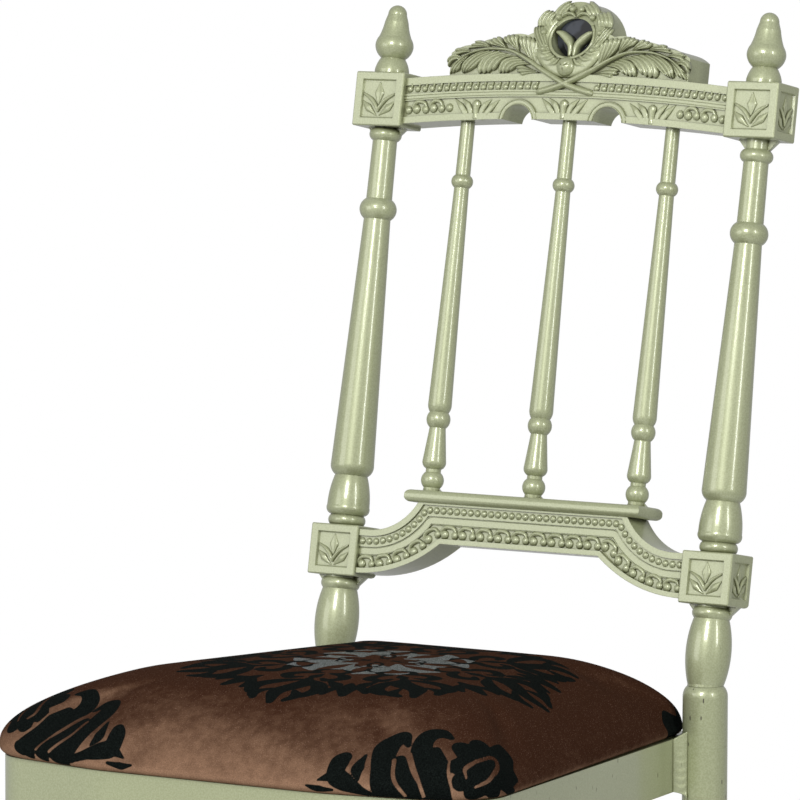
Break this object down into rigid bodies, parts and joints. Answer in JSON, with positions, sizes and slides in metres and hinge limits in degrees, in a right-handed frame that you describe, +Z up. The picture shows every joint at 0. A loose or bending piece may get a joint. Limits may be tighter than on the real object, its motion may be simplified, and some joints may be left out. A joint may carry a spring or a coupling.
{
  "type": "banquet chair",
  "caption": "Welded aluminium banquet chair with turned posts and spindles, cast crest and arched back rail, and a crowned velvet seat.",
  "frame": {"origin": "on the floor, under the middle of the chair's box", "axes": "+Z up, +X to the right seen from the front, the chair faces -Y"},
  "size_m": [0.437, 0.5164, 0.9369],
  "materials": {
    "frame_paint": "satin",
    "inlay": "gloss",
    "plywood": "matte",
    "dust_cloth": "matte",
    "foam": "matte",
    "velvet": "matte",
    "screw_steel": "satin",
    "nylon": "matte"
  },
  "bodies": {
    "root": {"back_leg_left": "frame_paint", "back_leg_right": "frame_paint", "baluster_left": "frame_paint", "baluster_right": "frame_paint", "lower_block_left": "frame_paint", "lower_block_right": "frame_paint", "back_post_left": "frame_paint", "back_post_right": "frame_paint", "top_block_left": "frame_paint", "top_block_right": "frame_paint", "finial_left": "frame_paint", "finial_right": "frame_paint", "crest_rail": "frame_paint", "medallion_tulip": "frame_paint", "lower_back_rail": "frame_paint", "spindle_bar": "frame_paint", "spindle_left": "frame_paint", "spindle_middle": "frame_paint", "spindle_right": "frame_paint", "front_rail": "frame_paint", "side_rail_left": "frame_paint", "side_rail_right": "frame_paint", "rear_rail": "frame_paint", "front_leg_left": "frame_paint", "front_leg_right": "frame_paint", "stretcher_left": "frame_paint", "stretcher_right": "frame_paint", "stretcher_front": "frame_paint", "stretcher_rear": "frame_paint", "neck_dowels": "frame_paint", "leg_plates": "frame_paint", "seat_tabs": "frame_paint", "post_welds": "frame_paint", "spindle_welds": "frame_paint", "leg_welds": "frame_paint", "medallion_inlay": "inlay", "seat_board": "plywood", "dust_cloth": "dust_cloth", "seat_foam": "foam", "seat_cover": "velvet", "seat_screws": "screw_steel", "glides_front": "nylon", "glides_back": "nylon"}
  },
  "joints": []
}
